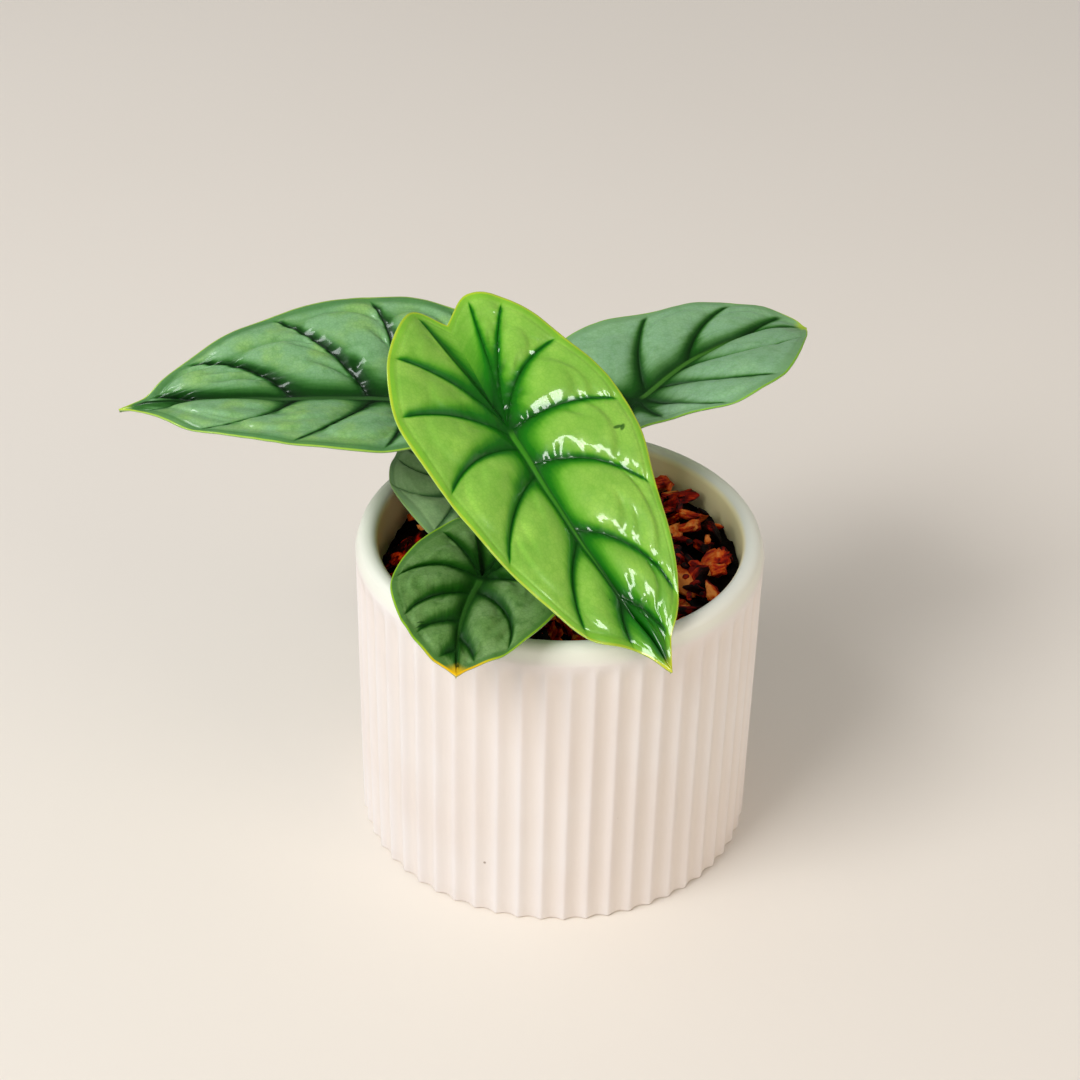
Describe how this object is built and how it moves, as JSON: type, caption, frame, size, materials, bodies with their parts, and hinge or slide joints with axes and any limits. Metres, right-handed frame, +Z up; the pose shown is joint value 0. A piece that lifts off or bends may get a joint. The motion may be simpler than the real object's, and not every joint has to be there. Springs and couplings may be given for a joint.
{
  "type": "potted silver dragon alocasia",
  "caption": "Small potted foliage plant with quilted, arrow-shaped silver-green leaves and one bright new leaf, in a white fluted cylinder pot filled with bark.",
  "frame": {"origin": "centre of the pot's flat base, where it rests", "axes": "+Z up along the pot's axis; -Y towards the side the picture is taken from; +X to the right as seen from there, so the largest leaf points to -X"},
  "size_m": [0.2092, 0.1739, 0.171],
  "materials": {
    "pot_glaze": "satin",
    "bark": "matte",
    "root_brown": "matte",
    "new_leaf": "gloss",
    "silver_leaf": "satin",
    "stalk": "satin"
  },
  "bodies": {
    "root": {"pot": "pot_glaze", "bark_mix": "bark", "crown": "root_brown", "blade_front": "new_leaf", "petiole_front": "stalk", "blade_left": "silver_leaf", "petiole_left": "stalk", "blade_back": "silver_leaf", "petiole_back": "stalk", "blade_small": "silver_leaf", "petiole_small": "stalk", "blade_low": "silver_leaf", "petiole_low": "stalk"}
  },
  "joints": []
}
